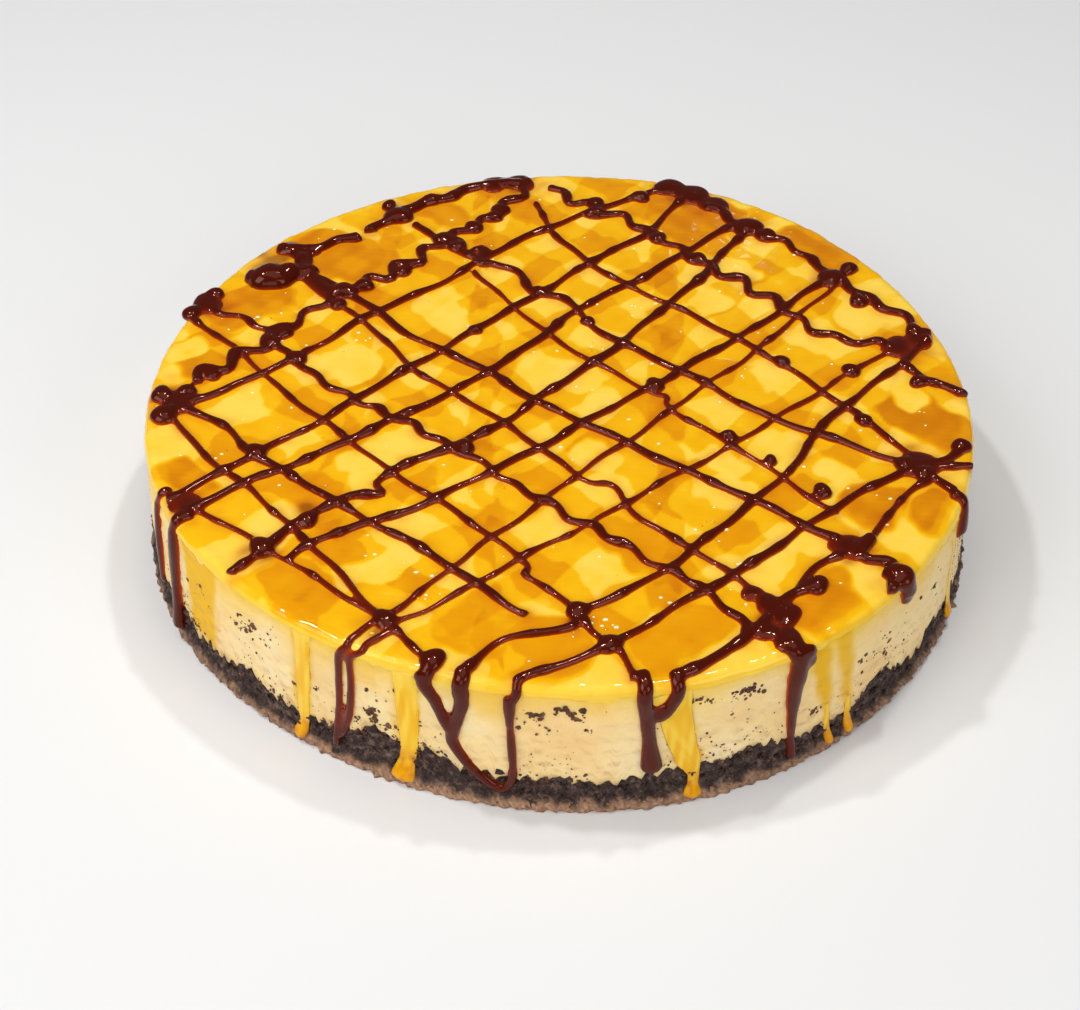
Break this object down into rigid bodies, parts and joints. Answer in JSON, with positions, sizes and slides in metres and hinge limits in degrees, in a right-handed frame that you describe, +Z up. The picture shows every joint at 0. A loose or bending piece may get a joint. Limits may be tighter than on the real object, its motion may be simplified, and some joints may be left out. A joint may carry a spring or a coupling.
{
  "type": "baked cheesecake",
  "caption": "Whole round baked cheesecake on a dark crumb crust, its top glazed with caramel and crossed by chocolate drizzle that runs down the side.",
  "frame": {"origin": "centre of the flat underside of the crust, on the surface that the cake stands on", "axes": "+Z up through the cake, -Y towards the front of the pictured view, +X to the right"},
  "size_m": [0.2428, 0.2426, 0.0476],
  "materials": {
    "crumb_crust": "dry, coarse dark crumbs",
    "cream_filling": "moist smooth cream, satin",
    "caramel_glaze": "wet glossy caramel, pale where thin",
    "chocolate": "glossy dark chocolate sauce"
  },
  "bodies": {
    "root": {"crust": "crumb_crust", "filling": "cream_filling"}
  },
  "joints": []
}
